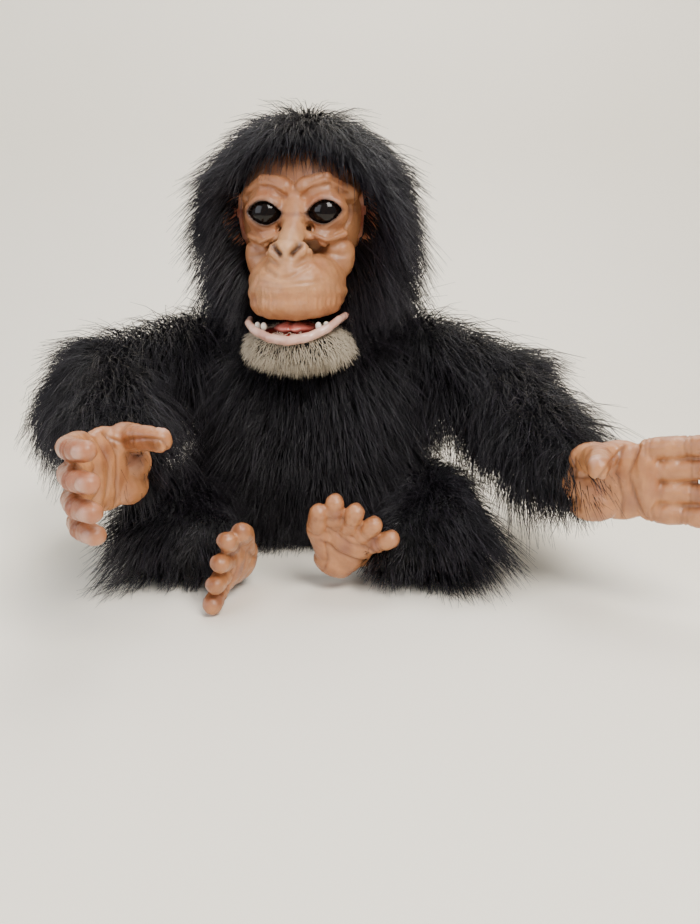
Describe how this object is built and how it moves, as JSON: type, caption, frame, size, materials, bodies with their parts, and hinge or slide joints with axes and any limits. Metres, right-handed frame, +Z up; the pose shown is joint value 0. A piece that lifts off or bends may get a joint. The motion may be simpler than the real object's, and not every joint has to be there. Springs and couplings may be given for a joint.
{
  "type": "sitting animatronic chimpanzee toy",
  "caption": "Sitting baby chimpanzee toy with long fur, soft moulded face, hands and feet, and a geared skeleton that hugs, turns and nods its head, opens its jaw and blinks.",
  "frame": {"origin": "centre of the seat panel's flat underside", "axes": "+Z up, -Y is where the toy faces, +X is the toy's own left side"},
  "size_m": [0.4326, 0.304, 0.318],
  "materials": {
    "case_plastic": "fine-textured moulded plastic",
    "frame_plastic": "satin moulded plastic",
    "gear_plastic": "smooth acetal",
    "motor_metal": "satin steel can",
    "pin_steel": "plated steel",
    "cell_wrap": "plain shrink sleeve",
    "black_plastic": "satin moulded plastic",
    "circuit_green": "solder mask",
    "seat_fabric": "short knitted pile",
    "black_fur": "long-pile fur, blue-black with brown",
    "pale_fur": "short pale pile",
    "face_rubber": "soft vinyl, satin",
    "hand_rubber": "soft vinyl, satin",
    "mouth_rubber": "soft vinyl, wet gloss",
    "eye_gloss": "clear-coated dark brown"
  },
  "bodies": {
    "torso": {"torso_front_shell": "case_plastic", "torso_rear_shell": "case_plastic", "case_screws": "pin_steel", "seat_panel": "seat_fabric", "torso_fur": "black_fur", "closure_strip": "seat_fabric", "battery_tray": "case_plastic", "battery_cells": "cell_wrap", "battery_contacts": "pin_steel", "battery_cover": "case_plastic", "power_switch_body": "black_plastic", "speaker": "black_plastic", "control_board": "circuit_green", "lower_deck": "frame_plastic", "upper_deck": "frame_plastic", "hug_gear_motor": "motor_metal", "neck_gear_motor": "motor_metal", "neck_bush": "frame_plastic", "hip_studs": "frame_plastic"},
    "power_switch": {"power_switch_slider": "black_plastic"},
    "hug_pinion": {"hug_pinion": "gear_plastic"},
    "neck_pinion": {"neck_pinion": "gear_plastic"},
    "neck": {"neck_column": "frame_plastic"},
    "head": {"skull_front": "frame_plastic", "skull_rear": "frame_plastic", "neck_carrier": "frame_plastic", "head_pins": "pin_steel", "face_skin": "face_rubber", "eyes": "eye_gloss", "eyelid_axle": "pin_steel", "blink_gear_motor": "motor_metal", "jaw_gear_motor": "motor_metal", "head_fur": "black_fur"},
    "eyelids": {"eyelids": "face_rubber"},
    "blink_pinion": {"blink_pinion": "gear_plastic"},
    "jaw_pinion": {"jaw_pinion": "gear_plastic"},
    "jaw": {"jaw_lip": "mouth_rubber", "jaw_frame": "frame_plastic", "tongue_and_gum": "mouth_rubber", "chin_fur": "pale_fur"},
    "right_yoke": {"right_shoulder_yoke": "gear_plastic"},
    "right_upper_arm": {"right_upper_arm_frame": "frame_plastic", "right_upper_arm_fur": "black_fur"},
    "right_forearm": {"right_forearm_frame": "frame_plastic", "right_forearm_fur": "black_fur", "right_wrist_ring": "frame_plastic"},
    "right_hand": {"right_hand": "hand_rubber"},
    "right_leg": {"right_hip_socket": "frame_plastic", "right_leg_fur": "black_fur"},
    "right_foot": {"right_foot": "hand_rubber"},
    "left_yoke": {"left_shoulder_yoke": "gear_plastic"},
    "left_upper_arm": {"left_upper_arm_frame": "frame_plastic", "left_upper_arm_fur": "black_fur"},
    "left_forearm": {"left_forearm_frame": "frame_plastic", "left_forearm_fur": "black_fur", "left_wrist_ring": "frame_plastic"},
    "left_hand": {"left_hand": "hand_rubber"},
    "left_leg": {"left_hip_socket": "frame_plastic", "left_leg_fur": "black_fur"},
    "left_foot": {"left_foot": "hand_rubber"}
  },
  "joints": [
    {"name": "power_switch_slide", "type": "slide", "parent": "torso", "child": "power_switch", "axis": [1, 0, 0], "range_m": [0, 0.0035]},
    {"name": "left_hug", "type": "hinge", "parent": "torso", "child": "left_yoke", "pos_m": [0.045, 0.008, 0.117], "axis": [0, 0, 1], "range_deg": [-18, 6]},
    {"name": "right_hug", "type": "hinge", "parent": "torso", "child": "right_yoke", "pos_m": [-0.045, 0.008, 0.117], "axis": [0, 0, 1], "range_deg": [-6, 18]},
    {"name": "hug_drive", "type": "hinge", "parent": "torso", "child": "hug_pinion", "pos_m": [0.00487, -0.02813, 0.116], "axis": [0, 0, 1], "range_deg": [-32, 92]},
    {"name": "neck_turn", "type": "hinge", "parent": "torso", "child": "neck", "pos_m": [0, 0.003, 0.14], "axis": [0, 0, 1], "range_deg": [-12, 12]},
    {"name": "neck_drive", "type": "hinge", "parent": "torso", "child": "neck_pinion", "pos_m": [0.024, 0.003, 0.14], "axis": [0, 0, 1], "range_deg": [-37, 37]},
    {"name": "head_nod", "type": "hinge", "parent": "neck", "child": "head", "pos_m": [0, 0.003, 0.18], "axis": [0.9944, -0.1045, 0.0175], "range_deg": [-6, 4]},
    {"name": "jaw_open", "type": "hinge", "parent": "head", "child": "jaw", "pos_m": [-0.00091, -0.00495, 0.184], "axis": [0.9944, -0.1045, 0.0175], "range_deg": [-2, 8]},
    {"name": "jaw_drive", "type": "hinge", "parent": "head", "child": "jaw_pinion", "pos_m": [0.00119, 0.01494, 0.184], "axis": [0.9944, -0.1045, 0.0175], "range_deg": [-33, 9]},
    {"name": "blink", "type": "hinge", "parent": "head", "child": "eyelids", "pos_m": [-0.00585, -0.04264, 0.23999], "axis": [0.9944, -0.1045, 0.0175], "range_deg": [0, 70]},
    {"name": "blink_drive", "type": "hinge", "parent": "head", "child": "blink_pinion", "pos_m": [-0.00376, -0.02275, 0.23999], "axis": [0.9944, -0.1045, 0.0175], "range_deg": [-282, 2]},
    {"name": "right_arm_lift", "type": "hinge", "parent": "right_yoke", "child": "right_upper_arm", "pos_m": [-0.074, 0.004, 0.142], "axis": [-1, 0, 0], "range_deg": [-4, 30]},
    {"name": "right_elbow_bend", "type": "hinge", "parent": "right_upper_arm", "child": "right_forearm", "pos_m": [-0.14254, -0.0256, 0.11941], "axis": [-0.184, -0.2905, 0.939], "range_deg": [-10, 15]},
    {"name": "right_hand_turn", "type": "hinge", "parent": "right_forearm", "child": "right_hand", "pos_m": [-0.10795, -0.12202, 0.09635], "axis": [0.3294, -0.9183, -0.2196], "range_deg": [-25, 25]},
    {"name": "right_leg_spread", "type": "hinge", "parent": "torso", "child": "right_leg", "pos_m": [-0.064, -0.014, 0.036], "axis": [0, 0, -1], "range_deg": [-2, 12]},
    {"name": "right_foot_turn", "type": "hinge", "parent": "right_leg", "child": "right_foot", "pos_m": [-0.061, -0.106, 0.026], "axis": [0.9364, -0.3405, -0.0851], "range_deg": [-12, 12]},
    {"name": "left_arm_lift", "type": "hinge", "parent": "left_yoke", "child": "left_upper_arm", "pos_m": [0.074, 0.004, 0.142], "axis": [-1, 0, 0], "range_deg": [-4, 30]},
    {"name": "left_elbow_bend", "type": "hinge", "parent": "left_upper_arm", "child": "left_forearm", "pos_m": [0.14095, -0.02013, 0.11008], "axis": [-0.3831, 0.1439, -0.9124], "range_deg": [-10, 15]},
    {"name": "left_hand_turn", "type": "hinge", "parent": "left_forearm", "child": "left_hand", "pos_m": [0.16923, -0.11752, 0.08285], "axis": [0.2693, -0.9275, -0.2593], "range_deg": [-25, 25]},
    {"name": "left_leg_spread", "type": "hinge", "parent": "torso", "child": "left_leg", "pos_m": [0.064, -0.014, 0.036], "axis": [0, 0, 1], "range_deg": [-2, 12]},
    {"name": "left_foot_turn", "type": "hinge", "parent": "left_leg", "child": "left_foot", "pos_m": [0.055, -0.106, 0.026], "axis": [-0.9744, -0.2107, -0.079], "range_deg": [-12, 12]}
  ],
  "couplings": [
    {"joint": "right_hug", "follows": "left_hug", "ratio": -1},
    {"joint": "hug_drive", "follows": "left_hug", "ratio": -5},
    {"joint": "neck_drive", "follows": "neck_turn", "ratio": -3},
    {"joint": "jaw_drive", "follows": "jaw_open", "ratio": -4},
    {"joint": "blink_drive", "follows": "blink", "ratio": -4}
  ]
}
